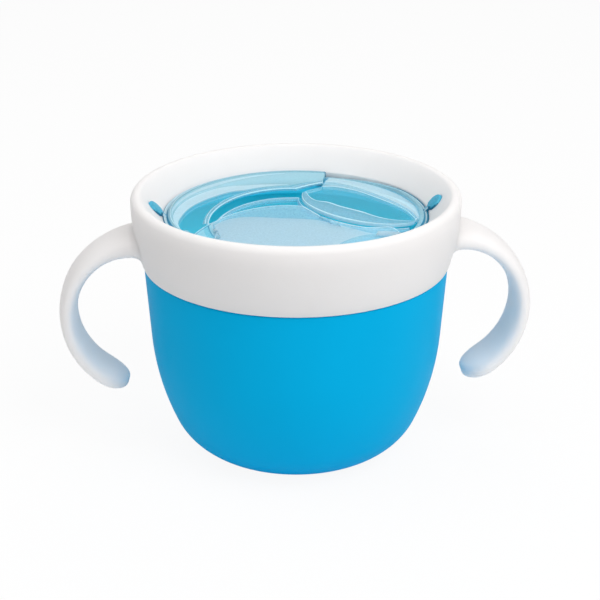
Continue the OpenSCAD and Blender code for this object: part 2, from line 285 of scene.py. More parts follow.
def softFilm(name, look):
    # soft clear elastomer: what is behind it shows through, with a thin haze and a glossy skin on both faces
    material, tree = newTree(name)
    place = addNode(tree, "ShaderNodeTexCoord").outputs["Object"]
    grain = addNode(tree, "ShaderNodeTexNoise", inputs={
        "Vector": place, "Scale": 1 / (look["grain"] * mm), "Detail": 2})
    ripple = addNode(tree, "ShaderNodeTexNoise", inputs={
        "Vector": place, "Scale": 1 / (look["ripple"] * mm), "Detail": 1})
    grainBump = addNode(tree, "ShaderNodeBump", inputs={
        "Strength": look["bump"], "Distance": film["grainDepth"] * mm, "Height": grain.outputs["Fac"]})
    bump = addNode(tree, "ShaderNodeBump", inputs={
        "Strength": film["rippleStrength"], "Distance": look["waviness"] * mm,
        "Height": ripple.outputs["Fac"], "Normal": grainBump.outputs["Normal"]})
    facing = addNode(tree, "ShaderNodeLayerWeight", inputs={"Blend": 0.5, "Normal": bump.outputs["Normal"]})
    steep = addNode(tree, "ShaderNodeMath", {"operation": "POWER"}, {
        0: facing.outputs["Facing"], 1: film["edgeOn"]})
    gloss = addNode(tree, "ShaderNodeMath", {"operation": "MULTIPLY_ADD"}, {
        0: steep.outputs[0], 1: (1 - film["faceOn"]) * look["gloss"], 2: film["faceOn"] * look["gloss"]})
    haze = addNode(tree, "ShaderNodeMapRange", inputs={
        "Value": grain.outputs["Fac"], "From Min": noiseLow, "From Max": noiseHigh,
        "To Min": look["haze"] * (1 - look["mottle"]), "To Max": look["haze"] * (1 + look["mottle"])})
    clearShare = addNode(tree, "ShaderNodeMath", {"operation": "SUBTRACT"}, {0: 1.0, 1: haze.outputs[0]})
    cover = addNode(tree, "ShaderNodeMath", {"operation": "MULTIPLY_ADD", "use_clamp": True}, {
        0: clearShare.outputs[0], 1: gloss.outputs[0], 2: haze.outputs[0]})
    hazeShare = addNode(tree, "ShaderNodeMath", {"operation": "DIVIDE", "use_clamp": True}, {
        0: haze.outputs[0], 1: cover.outputs[0]})
    mirror = addNode(tree, "ShaderNodeBsdfAnisotropic", inputs={
        "Color": hexToLinear(film["reflection"]), "Roughness": look["roughness"],
        "Normal": bump.outputs["Normal"]})
    bloom = addNode(tree, "ShaderNodeBsdfPrincipled", inputs={
        "Base Color": hexToLinear(look["colour"]), "Roughness": film["bloomRoughness"], "IOR": film["ior"],
        "Specular IOR Level": film["bloomSpecular"], "Normal": bump.outputs["Normal"]})
    through = addNode(tree, "ShaderNodeBsdfTranslucent", inputs={"Color": hexToLinear(look["colour"])})
    milk = addNode(tree, "ShaderNodeMixShader", inputs={
        0: film["litThrough"], 1: bloom.outputs[0], 2: through.outputs[0]})
    skin = addNode(tree, "ShaderNodeMixShader", inputs={
        0: hazeShare.outputs[0], 1: mirror.outputs[0], 2: milk.outputs[0]})
    clear = addNode(tree, "ShaderNodeBsdfTransparent", inputs={"Color": hexToLinear(look["tint"])})
    whole = addNode(tree, "ShaderNodeMixShader", inputs={
        0: cover.outputs[0], 1: clear.outputs[0], 2: skin.outputs[0]})
    addNode(tree, "ShaderNodeOutputMaterial", inputs={"Surface": whole.outputs[0]})
    return material


# Finishes. Grain, drift, ripple and waviness are in millimetres, with the grain coarse enough to show.

bluePlastic = mouldedPlastic("polypropyleneBlueSatin", {  # deep sky blue, soft broad sheen
    "colourLow": "#00ABE0", "colourHigh": "#00B1E6", "grain": 0.5, "drift": 26,
    "roughness": 0.45, "specular": 0.03, "through": 0})
insidePaintedLightPlastic = mouldedPlastic("polypropyleneBluePaintedLitInside", {  # lighter, lit through the thin wall: its lighter colour is painted light, its subsurface glow is real
    "colourLow": "#80F6FF", "colourHigh": "#86F8FF", "grain": 0.5, "drift": 24,
    "roughness": 0.5, "specular": 0.1,
    "through": 1, "throughDepth": 3, "throughReach": (0.3, 1, 1)})
whitePlastic = mouldedPlastic("polypropyleneWhiteMatt", {  # warm white, almost without shine
    "colourLow": "#F0EDEC", "colourHigh": "#F4F1F0", "grain": 0.55, "drift": 30,
    "roughness": 0.5, "specular": 0.25,
    "through": 0.5, "throughDepth": 4, "throughReach": (1, 1, 1)})
ringPaintedLightPlastic = mouldedPlastic("polypropyleneBlueRingPaintedLight", {  # the hidden spacer, a lighter blue: painted light, like the bowl's inside
    "colourLow": "#80F6FF", "colourHigh": "#86F8FF", "grain": 0.5, "drift": 18,
    "roughness": 0.48, "specular": 0.2, "through": 0})

steepSheet = {"mottle": 0.08, "gloss": 0.9, "roughness": 0.14, "grain": 0.6, "bump": 0.08, "ripple": 10,
              "waviness": 0.04}
thickPlace = {"grain": 0.6, "bump": 0.05, "ripple": 8, "waviness": 0.02}
filmClear = softFilm("elastomerClearGloss", {  # almost invisible but for its reflections
    "colour": "#6CE8FA", "tint": "#F4FDFF", "haze": 0.17, "mottle": 0.2, "gloss": 0.5,
    "roughness": 0.06, "grain": 0.5, "bump": 0.05, "ripple": 14, "waviness": 0.03})
filmPaintedSheen = softFilm("elastomerPaintedSheen", {  # milky look of the steep parts near the rim, a painted sheen standing in for their reflection of the light
    "colour": "#CFF6FC", "tint": "#E6F8FC", "haze": 0.46, **steepSheet})
filmPaintedLitBand = softFilm("elastomerPaintedLitBand", {  # painted highlight: a whiter band near the rim, where the film faces the light
    "colour": "#E2F8FD", "tint": "#EAFAFD", "haze": 0.66, **steepSheet})
filmMisted = softFilm("elastomerMisted", {  # light bloom, between clear and frosted
    "colour": "#CDF1FB", "tint": "#EAF7FB", "haze": 0.3, "mottle": 0.15, "gloss": 0.8,
    "roughness": 0.1, "grain": 0.5, "bump": 0.08, "ripple": 12, "waviness": 0.03})
filmFrostedAndSheen = softFilm("elastomerFrostedAndPaintedSheen", {  # fine matt grain, pale blue; its paleness is also painted sheen for the light the front flap reflects
    "colour": "#E2EEF2", "tint": "#EAF5F9", "haze": 0.48, "mottle": 0.08, "gloss": 1.0,
    "roughness": 0.2, "grain": 0.45, "bump": 0.1, "ripple": 12, "waviness": 0.0})
filmPaintedHighlight = softFilm("elastomerThickEdgePaintedHighlight", {  # thick rounded lips: pale, with a painted highlight line on top
    "colour": "#E2FAFF", "tint": "#EAF8FC", "haze": 0.8, "mottle": 0.05, "gloss": 1.0,
    "roughness": 0.08, **thickPlace})
filmDeep = softFilm("elastomerDeepBlue", {  # thick solid places, where the blue gathers
    "colour": "#66DCFA", "tint": "#86DDF4", "haze": 0.7, "mottle": 0.1, "gloss": 0.8,
    "roughness": 0.1, **thickPlace})
filmShade = softFilm("elastomerShadedEdge", {  # painted shade: thin dark outlines, where the edge shows the depth behind it
    "colour": "#3C9DBC", "tint": "#7CC6DE", "haze": 0.6, "mottle": 0.1, "gloss": 0.6,
    "roughness": 0.12, **thickPlace})
print("materials made")


# The bowl

bowl = {
    "radius": 41, "draft": 3.96, "sideArc": 70.1, "sideTurn": 19.9, "baseArc": 16.8, "wall": 2.2,
    "footDepth": 0.6, "footWidth": 3.4, "footRound": 0.3, "shoulderRound": 0.35,
    "neckStep": 2.3, "neckWall": 1.6, "neckBlend": 4.2, "neckFoot": 0.3, "mouthRound": 0.5,
    # litBelow and litMargin bound the inside faces that get the painted lighter colour
    "insideStep": 0.4, "insideRound": 2, "insideBlend": 6, "litBelow": 0.5, "litMargin": 0.3,
}
thread = {
    "starts": 4, "first": 45, "turn": 30, "lead": 16, "depth": 1.2, "height": 1.4, "drop": 0.8,
    "gap": 0.3, "round": 0.3, "bite": 0.4,
    "extra": 0.1,  # how much thicker the collar's lugs are than the cup's
}

neckRadius = bowl["radius"] - bowl["neckStep"]
neckInside = neckRadius - bowl["neckWall"]


def bowlSide(inset, top):
    # the tangent arcs and straight draft of the outside, or of the inside with an inset
    lowAngle = bowl["draft"] + bowl["sideTurn"]
    reach = bowl["sideArc"] - bowl["baseArc"]
    sideZ = bowl["baseArc"] + reach * math.sin(math.radians(lowAngle))
    draft = math.radians(bowl["draft"])
    sideTopZ = sideZ - bowl["sideArc"] * math.sin(draft)
    sideX = bowl["radius"] - (shoulder - sideTopZ) * math.tan(draft) - bowl["sideArc"] * math.cos(draft)
    baseX = sideX + reach * math.cos(math.radians(lowAngle))
    base = arc((baseX, bowl["baseArc"]), bowl["baseArc"] - inset, -90, -lowAngle, 24)
    side = arc((sideX, sideZ), bowl["sideArc"] - inset, -lowAngle, -bowl["draft"], 24)
    topRadius = bowl["radius"] - inset / math.cos(draft) - (shoulder - top) * math.tan(draft)
    return base, side[1:], (topRadius, top)


def makeBowl():
    base, side, top = bowlSide(0, shoulder)
    floor, inSide, inTop = bowlSide(bowl["wall"], shoulder - bowl["neckBlend"])
    hollow = base[0][0] - bowl["footWidth"]  # the recess under the base ends here
    foot, mouth = bowl["footRound"], bowl["mouthRound"]
    corners = [(0, bowl["footDepth"]), (hollow - 2 * foot, bowl["footDepth"], foot), (hollow, 0, foot)]
    corners += base + side
    corners += [(*top, bowl["shoulderRound"]), (neckRadius, shoulder, bowl["neckFoot"])]
    corners += [(neckRadius, neckTop, mouth), (neckInside, neckTop, mouth)]
    corners += [(neckInside, shoulder - bowl["insideStep"], bowl["insideRound"])]
    corners += [(*inTop, bowl["insideBlend"])]
    corners += inSide[::-1] + floor[::-1] + [(0, bowl["wall"])]
    bm = bmesh.new()
    spinShape(bm, roundOff(corners))
    lugZ = neckTop - thread["drop"] - thread["height"]
    addLugs(bm, lugZ, neckRadius - thread["bite"], neckRadius + thread["depth"], thread["height"])
    piece = makePiece("snackBowl", bm, [bluePlastic, insidePaintedLightPlastic], "cup", ["cup"])
    for face in piece.data.polygons:
        across, up = math.hypot(face.center.x, face.center.y) / mm, face.center.z / mm
        inward = face.normal.x * face.center.x + face.normal.y * face.center.y < 0 or face.normal.z > 0.7
        reach = neckInside + bowl["litMargin"] if up > shoulder - bowl["litBelow"] else neckRadius
        if inward and up > bowl["footDepth"] and across < reach:
            face.material_index = 1  # the inside, painted lighter as if lit through the wall


def addLugs(bm, z, near, far, height):
    # short leaning thread lugs, each with its middle at z
    rise = thread["lead"] * thread["turn"] / 360
    low = z - height / 2 - rise / 2
    section = roundOff([(near, low), (far, low, thread["round"]),
                        (far, low + height, thread["round"]), (near, low + height)], 3)
    for i in range(thread["starts"]):
        middle = thread["first"] + i * 360 / thread["starts"]
        spinShape(bm, section, middle - thread["turn"] / 2, thread["turn"], 12, rise)


# The collar with its handles

collar = {
    "footLap": 0.2, "flare": 2.795, "rimEdge": 1.72, "mouthStep": 1.5, "slopeHeight": 6.3, "ledge": 1.6,
    "wall": 1.8, "ribWall": 1.2, "ribStep": 0.25, "ribRise": 1.3,
    "footRound": 0.5, "innerRound": 0.4, "mouthRound": 0.3, "ledgeRound": 0.2,
}
handle = {
    "rootHeight": 6.5, "stub": 0.6, "bendUp": 20, "bendLow": 22, "thick": 4.8, "wide": 15.4,
    "rootThick": 2.4, "rootWide": 3.6, "tipThick": 0.8, "tipRound": 7.6, "tipAngle": 73, "tipCap": 0.35,
    "flareAngle": 46, "squareness": 2.5, "fillet": 2.3, "sink": 0.6, "sides": 36, "loops": 44,
}

mouthRadius = neckInside - collar["mouthStep"]
mouthZ = rimTop - collar["slopeHeight"]
clampZ = mouthZ - collar["ledge"]
footRadius = bowl["radius"] + collar["footLap"]
collarRadius = footRadius + collar["flare"]
skirtInside = neckRadius + thread["depth"] + thread["gap"]
rimX = collarRadius - collar["rimEdge"]
rimZ = rimTop - collar["rimEdge"]
skirtArc = (collar["flare"] ** 2 + (rimZ - shoulder) ** 2) / (2 * collar["flare"])
slopeReach = math.dist((rimX, rimZ), (mouthRadius, mouthZ))
slopeAngle = (math.degrees(math.atan2(rimZ - mouthZ, rimX - mouthRadius))
              + math.degrees(math.asin(collar["rimEdge"] / slopeReach)))


def skirtRadius(z):
    return collarRadius - skirtArc + math.sqrt(skirtArc ** 2 - (rimZ - z) ** 2)


def collarOutline():
    ribIn = neckRadius - collar["ribStep"]
    ribOut = ribIn + collar["ribWall"]
    ribBase = neckTop + collar["ribRise"]
    foot = shoulder + joinGap
    slope = math.radians(slopeAngle)
    roofZ = mouthZ + (ribOut - mouthRadius) * math.tan(slope) - collar["wall"] / math.cos(slope)
    low = -math.degrees(math.asin((rimZ - foot) / skirtArc))
    skirt = arc((collarRadius - skirtArc, rimZ), skirtArc, low + 0.6, 0, 24)
    soft, ledge = collar["innerRound"], collar["ledgeRound"]
    corners = [(skirtInside, foot, collar["mouthRound"]), (skirtRadius(foot), foot, collar["footRound"])]
    corners += skirt + arc((rimX, rimZ), collar["rimEdge"], 6, 90 + slopeAngle, 14)
    corners += [(mouthRadius, mouthZ, collar["mouthRound"]), (mouthRadius, clampZ, ledge)]
    corners += [(ribIn, clampZ, ledge / 2), (ribIn, ribBase, ledge), (ribOut, ribBase, ledge)]
    corners += [(ribOut, roofZ, soft), (skirtRadius(roofZ) - collar["wall"], roofZ, soft)]
    corners += [(skirtRadius(clampZ) - collar["wall"], clampZ), (skirtInside, foot + soft)]
    return roundOff(corners)


def skirtX(y, z):
    return math.sqrt(skirtRadius(z) ** 2 - y ** 2)


def handlePoint(turn, side):
    # a point of the handle's skin: turn runs round the bends from 90 at the root, side round the section
    t, a = math.radians(turn), math.radians(side)
    bend = handle["bendUp"] if turn > 0 else handle["bendLow"]
    flare = max(0, (turn - handle["flareAngle"]) / (90 - handle["flareAngle"])) ** 2
    share = min(1, math.radians(turn + handle["tipAngle"]) * handle["bendLow"] / handle["tipRound"])
    close = math.sqrt(max(0, 1 - (1 - share) ** 2))
    halfThick = (handle["thick"] + handle["rootThick"] * flare
                 + handle["tipThick"] * max(0, -turn / handle["tipAngle"])) / 2 * close ** 0.5
    halfWide = (handle["wide"] + handle["rootWide"] * flare) / 2 * close
    bulge = 2 / handle["squareness"]
    out = halfThick * math.copysign(abs(math.cos(a)) ** bulge, math.cos(a))
    across = halfWide * math.copysign(abs(math.sin(a)) ** bulge, math.sin(a))
    centreX = footRadius + handle["stub"] + handle["bendUp"] - bend * (1 - math.cos(t))
    centreZ = shoulder + handle["rootHeight"] - handle["bendUp"] + bend * math.sin(t)
    return Vector((centreX + out * math.cos(t), across, centreZ + out * math.sin(t)))


def rootTurn(side):
    # where the skin's line is one fillet radius off the collar
    low, high = handle["flareAngle"] - 1, 90
    for _ in range(30):
        middle = (low + high) / 2
        p = handlePoint(middle, side)
        if p.x - skirtX(p.y, p.z) > handle["fillet"]:
            low = middle
        else:
            high = middle
    return low


def handleLoops():
    # the loops of the skin from inside the collar's wall, over the fillet, to the tip
    sides = [360 * j / handle["sides"] for j in range(handle["sides"])]
    starts = [rootTurn(a) for a in sides]
    rootZ = shoulder + handle["rootHeight"]
    fillet = handle["fillet"]
    loops = []
    for turn, sink in ((0, handle["sink"]), (0, 0), (15, 0), (30, 0), (45, 0), (60, 0), (75, 0)):
        swing = math.radians(turn)
        loop = []
        for a, start in zip(sides, starts):
            p = handlePoint(start, a)
            away = Vector((p.y, p.z - rootZ))
            spread = away + away.normalized() * fillet * (1 - math.sin(swing))
            y, z = spread.x, rootZ + spread.y
            lift = fillet * (1 - math.cos(swing)) - sink
            loop.append(Vector((skirtX(y, z) + lift, y, z)))
        loops.append(loop)
    last = handle["tipAngle"] - handle["tipCap"]
    for i in range(handle["loops"] + 1):
        share = math.sin(math.radians(90 * i / handle["loops"]))
        loops.append([handlePoint(start - (start + last) * share, a) for a, start in zip(sides, starts)])
    return loops


# Anchor tabs on the collar's slope, which keep the upper flap moulding from turning

tab = {
    "head": 2.6, "reach": 2.5, "neck": 0.8, "neckEnd": 0.3, "tail": 1.2, "headTurn": 125, "thick": 0.9,
    "proud": 0.8, "soften": 0.5, "gap": 0.2, "under": 0.05, "cutterTop": 3, "turns": (0, 180),
}


def tabOutline(grow=0):
    # a drop seen square to the slope, its neck at the mouth's edge
    head = arc((tab["reach"], 0), tab["head"] + grow, -tab["headTurn"], tab["headTurn"], 32)
    neck = tab["neck"] + grow
    near, far = -tab["tail"], tab["neckEnd"]
    return [(near, -neck), (far, -neck)] + head + [(far, neck), (near, neck)]


def addTab(bm, turn, grow, low, high, soften=0):
    # a slab of the drop between two heights over the slope
    verts = [bm.verts.new((x, y, low)) for x, y in tabOutline(grow)]
    bottom = bm.faces.new(verts)
    made = bmesh.ops.extrude_face_region(bm, geom=[bottom])["geom"]
    top = [v for v in made if isinstance(v, bmesh.types.BMVert)]
    bmesh.ops.translate(bm, verts=top, vec=(0, 0, high - low))
    if soften:
        ridge = [e for e in bm.edges if e.verts[0] in top and e.verts[1] in top]
        top = bmesh.ops.bevel(bm, geom=ridge, offset=soften, segments=3, profile=0.5, affect="EDGES",
                              material=-1)["verts"]
    verts = list({v for v in verts + top if v.is_valid})
    place = (Matrix.Rotation(math.radians(turn), 4, "Z") @ Matrix.Translation((mouthRadius, 0, mouthZ))
             @ Matrix.Rotation(math.radians(-slopeAngle), 4, "Y"))
    bmesh.ops.transform(bm, matrix=place, verts=verts)


def carve(piece, bm):
    # cuts the closed shape in bm out of the piece
    settleShape(bm)
    bmesh.ops.scale(bm, vec=(mm, mm, mm), verts=bm.verts)
    cutter = placeShape("cutter", bm)
    cut = piece.modifiers.new("Carve", "BOOLEAN")
    cut.operation = "DIFFERENCE"
    cut.object = cutter
    applyModifiers(piece)
    bpy.data.objects.remove(cutter)


def makeCollar():
    bm = bmesh.new()
    spinShape(bm, collarOutline(), steps=192)
    piece = makePiece("collarShell", bm, [whitePlastic], replaces=["collar"])
    for turn in tab["turns"]:
        cutter = bmesh.new()
        addTab(cutter, turn, tab["gap"], -tab["thick"] - tab["under"], tab["cutterTop"])
        carve(piece, cutter)
    piece.data.set_sharp_from_angle(angle=math.radians(sharpTurn))
    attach(piece, "collar")
    for name, turn in (("handleRight", 0), ("handleLeft", 180)):
        bm = bmesh.new()
        loftLoops(bm, handleLoops())
        swing = Matrix.Rotation(math.radians(turn), 3, "Z")
        bmesh.ops.rotate(bm, verts=bm.verts, cent=(0, 0, 0), matrix=swing)
        makePiece(name, bm, [whitePlastic], "collar")
    bm = bmesh.new()
    extra = thread["extra"]
    height = thread["height"] + extra
    lugZ = neckTop - thread["drop"] - 1.5 * thread["height"] - height / 2 - thread["gap"] - extra / 2
    addLugs(bm, lugZ, neckRadius + thread["gap"], skirtInside + thread["bite"] + extra, height)
    makePiece("collarThreadLugs", bm, [whitePlastic], "collar")


# The rings that hold the flaps

rings = {
    "runGap": 0.1, "thick": 1.1, "retainer": 2.5, "stackGap": 0.05, "lip": 0.65, "inset": 0.35,
    "flangeRound": 0.2, "retainerRound": 0.4, "lowerLipTop": 1.35, "lowerRound": 0.1,
    # where the beads stand in their flanges: inset from the lip, depth under the ring's top or the clamp face
    "upperRoot": [(0.55, 0.6), (0.05, 0.6)], "lowerRoot": [(0.5, 0.7), (0.05, 0.7), (0, -0.05)],
    # each bead's corners: inset from the mouth's edge, height over the mouth or over the clamp face, rounding
    "upperBead": [(0, 0.2, 0.25), (0.6, 0.15, 0.25), (1.0, -0.35, 0.25), (1.35, 0.7, 0.3), (2.3, 0.85, 0.45),
                  (2.45, -0.2, 0.25)],
    "lowerBead": [(0, 0.1, 0), (0.02, 0.5, 0.2), (0.6, 0.5, 0.2), (1.0, 0.15, 0.2), (1.4, 1.0, 0.3),
                  (2.3, 1.15, 0.45), (2.5, 0.3, 0.25)],
    "stepAngle": 72, "rightEnd": -37,  # the upper bead runs from the step round by the left to its right end
    "lowFrom": 66, "highTo": 30, "lowBy": -0.3, "highBy": 0.9,  # the lower bead climbs between these angles
}
beadLines = {  # insets of the painted shade lines and painted highlight streaks, and how far across they reach
    "edge": 0.22, "edgeRight": 0.5, "rightFrom": 27, "groove": (0.95, 1.25), "crest": 0.8,
    "crestLeft": -16, "crestRight": 20, "shelf": (1.7, 2.1), "shelfLeft": -12,
}

ringOutside = neckRadius - rings["inset"]
upperLip = mouthRadius - rings["runGap"]
lowerLip = upperLip - rings["lip"] - rings["runGap"]
upperTop = clampZ - rings["stackGap"]
lowerTop = upperTop - rings["thick"] - rings["stackGap"]
retainerTop = lowerTop - rings["thick"] - rings["runGap"]


def flange(lipRadius, top, inside):
    # the flat clamped ring's outline, closed by the corners of its inside
    low, edge = top - rings["thick"], rings["flangeRound"]
    return roundOff([(lipRadius - rings["lip"], low, edge / 2), (ringOutside, low, edge),
                     (ringOutside, top, edge)] + inside, 2)


def makeRetainer():
    low, soft = retainerTop - rings["retainer"], rings["retainerRound"]
    bm = bmesh.new()
    spinShape(bm, roundOff([(lowerLip, low, soft), (ringOutside, low, soft),
                            (ringOutside, retainerTop, soft / 2), (lowerLip, retainerTop, soft / 2)]))
    makePiece("spacerRing", bm, [ringPaintedLightPlastic], "retainer", ["retainer_ring"])


def makeUpperRing():
    bm = bmesh.new()
    spinShape(bm, flange(upperLip, upperTop, [(upperLip - rings["lip"], upperTop, rings["flangeRound"] / 2)]))
    bead = [(upperLip - inset, upperTop - down) for inset, down in rings["upperRoot"]]
    bead += [(upperLip - inset, mouthZ + up, bend) for inset, up, bend in rings["upperBead"]]
    spinShape(bm, roundOff(bead), rings["stepAngle"], 360 - rings["stepAngle"] + rings["rightEnd"], 150)
    for turn in tab["turns"]:
        addTab(bm, turn, 0, -tab["thick"], tab["proud"], tab["soften"])
    piece = makePiece("upperFlapRing", bm, [filmPaintedSheen, filmShade, filmPaintedHighlight, filmDeep], "collar",
                      ["upper_flap_ring"])
    outlineBead(piece)
    for face in piece.data.polygons:
        across = math.hypot(face.center.x, face.center.y)
        if across > (mouthRadius + rings["runGap"]) * mm and face.center.z > mouthZ * mm:
            face.material_index = 3 if face.normal.z > 0.2 else 1  # the tabs' tops, and their sides in painted shade


def makeLowerRing():
    # its bead shows one layer deeper, on the right
    lipTop, soft = mouthZ - rings["lowerLipTop"], rings["lowerRound"]
    bm = bmesh.new()
    spinShape(bm, flange(lowerLip, lowerTop, [
        (lowerLip, lowerTop, soft / 2), (lowerLip, lipTop, soft), (lowerLip - rings["lip"], lipTop, soft)]))
    bead = [(lowerLip - inset, clampZ - down) for inset, down in rings["lowerRoot"]]
    bead += [(upperLip - inset, clampZ + up, bend) for inset, up, bend in rings["lowerBead"]]
    for vert in spinShape(bm, roundOff(bead), rings["rightEnd"], rings["stepAngle"] - rings["rightEnd"], 72):
        azimuth = math.degrees(math.atan2(vert.co.y, vert.co.x))
        share = min(max((rings["lowFrom"] - azimuth) / (rings["lowFrom"] - rings["highTo"]), 0), 1)
        if vert.co.z > clampZ:
            vert.co.z += rings["lowBy"] + (rings["highBy"] - rings["lowBy"]) * share
    piece = makePiece("lowerFlapRing", bm, [filmPaintedSheen, filmShade, filmPaintedHighlight], "collar",
                      ["lower_flap_ring"])
    outlineBead(piece)


def outlineBead(piece):
    # painted shade as thin dark lines on the bead's outer edge and groove, painted highlights as bright
    # streaks on the crests at the sides
    lines = beadLines
    for face in piece.data.polygons:
        inset = upperLip - math.hypot(face.center.x, face.center.y) / mm
        across = face.center.x / mm
        edge = lines["edgeRight"] if across > lines["rightFrom"] else lines["edge"]
        onCrest = inset < lines["crest"] and not lines["crestLeft"] < across < lines["crestRight"]
        onShelf = lines["shelf"][0] < inset < lines["shelf"][1] and across < lines["shelfLeft"]
        if inset < edge or lines["groove"][0] < inset < lines["groove"][1]:
            face.material_index = 1
        else:
            face.material_index = 2 if onCrest or onShelf else 0


# The flaps: thin domed sheets with raised lips. Plan points are in millimetres, lines run from left to right.

flaps = {
    "rise": 4.6, "step": 1.3, "thick": 0.9, "lip": 0.45, "edgeRound": 0.14, "sharpAngle": 50,
    "fold": 4.0,  # a width for a soft bend
    "rim": 33.5,  # where the sheets meet their rings
}
crescent = {
    "centre": (-3.3, -13.3), "radius": 20.2, "lipWidth": 1.6, "from": 204, "to": 79.4, "lipTo": 83,
    "seam": -20.6,  # the root left of it stays with the collar, the rest is a separate piece
    "rimFrom": 224, "rimCorner": 92, "rimTo": 71.5,
    "rootSheen": [(-23.8, -23.05), (-29.2, -16), (-31.3, -9.5), (-30.6, -4.7), (-28.2, 0.6), (-24.6, 4.2),
                  (-20.6, 6.6)],  # where the clear zone turns pale, into the painted sheen
    "sheen": [(-20.6, 6.6), (-17, 8.2), (-13.2, 8.0), (-9, 9.1), (-3.3, 9.9), (-1.2, 9.9)],
    "tip": [(0.4, 6.5), (8.2, 13.5)], "tipLip": [(-0.6, 8.6), (8.45, 15.8)],
    "tipSheen": [(-1.2, 9.9), (8.6, 17.0)],
    "hinge": (-20.6, -3.2), "hingeReach": 35.175, "hingeTurn": 71, "hingeZ": 69.1,
}
leaf = {
    "centre": (18.65, 3.42), "radius": 16.8, "from": 166, "to": 322, "rimFrom": 69.5, "rimTo": -11.5,
    "rimInset": 0.4,
    "bandEdge": [(3.1, 8.2), (3.5, 6.3), (4.0, 3.2), (5.4, 0.3), (8.6, -0.9), (11.9, -3.7), (16.9, -6.3),
                 (19.8, -8.2), (22.4, -9.2), (25.5, -9.3), (30.1, -7.9), (32.1, -7.0)],
    "clearEdge": [(8.0, 13.8), (11, 14.9), (14.5, 13.7), (18.2, 11.3), (21.5, 7.8), (25.2, 4.3), (28, 1.7),
                  (30, -1.2), (31.2, -5.1), (32.3, -6.8)],
    "paleEdge": [(9.4, 20.5), (12.5, 21.4), (17.8, 16.8), (22.0, 11.8), (25.4, 8.0), (28.4, 3.9),
                 (30.9, -0.3), (31.9, -4), (32.5, -6.7)],
    # streakAt: where the painted highlight streak near the leaf's rim lies, as a share along it
    "ridge": 0.1, "arch": 0.1, "streakAt": 0.76,
    "hingeReach": 34.75, "hingeFrom": -12, "hingeTo": 70, "hingeZ": 65.0,
}
front = {
    "centre": (-5.9, -34.5), "radius": 27.9, "turns": (128.3, 74), "lipTurns": (128, 76), "lipWidth": 1,
    "sideGap": 0.35, "sideTurns": (205, 178.4), "sideLipTurns": (205, 180), "sideLip": 0.6, "lipArch": 0.3,
    "rimSpots": (226, 232, 280, 322.5),  # angles of the corners at the rim
    "rimBand": 0.4,
    "freeEdge": [(1.8, -7.7), (5.3, -13.3), (7.2, -15.9), (11.4, -17.7), (17.3, -18.8), (23.6, -16.8),
                 (25.8, -19.7)],  # beside and in front of the leaf flap
    "freeLip": [(0.6, -8.4), (4.4, -13.9), (6.6, -16.9), (11.2, -18.8), (17.5, -19.9), (23.2, -18.2),
                (25.4, -20.1)],
    "frostLeft": [(-21.8, -22.3), (-21.7, -18), (-22.1, -14.1)],  # where the frosted zone with its painted sheen starts
    "frostMiddle": [(-22.1, -14.1), (-18.4, -11.9), (-13.2, -12.1), (-5.6, -14.4), (0.5, -15.4)],
    "frostRight": [(0.5, -15.4), (5.5, -16.5), (9.6, -18.4), (13.4, -20.2), (18.5, -21.8), (25.0, -21.0)],
    "frostEnd": [(5.75, -32.6), (9.6, -27.4), (15.4, -23.2), (20.8, -21.5), (25.5, -20.8)],
    "hinge": ((10, -19.2), (-10, -20.1)), "hingeZ": 66.3,
    "cornerThick": 0.35, "cornerArch": 0.25, "cornerRise": 0.03, "cornerSpot": (-21.6, -22.2),
    "cornerTurns": (141.4, 128.6), "cornerLipTurns": (141.8, 128.9), "cornerLip": 0.9, "cornerFrom": 212,
}
inner = {
    "edgeGap": 0.5, "turns": (206, 79.5), "lipWidth": 1.5, "lipTurns": (206, 81), "lipArch": 0.5,
    "leafGap": 0.45, "leafTurns": (172, 306), "leafLip": 1.3, "leafLipTurns": (175, 306),
    "rim": 34.2, "rimSpots": (229, 285, 345), "hingeZ": 63.7,
}

domeEdge = upperLip - rings["lip"] / 2
domeRadius = (domeEdge ** 2 + flaps["rise"] ** 2) / (2 * flaps["rise"])

# in this list the lip film is painted highlight, the shade film painted shade, and the pale, lit-band and
# frosted films carry painted sheen
films = [filmClear, filmPaintedHighlight, filmPaintedSheen, filmMisted, filmFrostedAndSheen, filmShade, filmPaintedLitBand]
clear, lip, pale, misted, frostedAndSheen, shade, paintedLitBand = range(len(films))


def domeZ(x, y, layer):
    drop = domeRadius - math.sqrt(domeRadius ** 2 - x * x - y * y)
    return mouthZ - layer * flaps["step"] + flaps["rise"] - drop


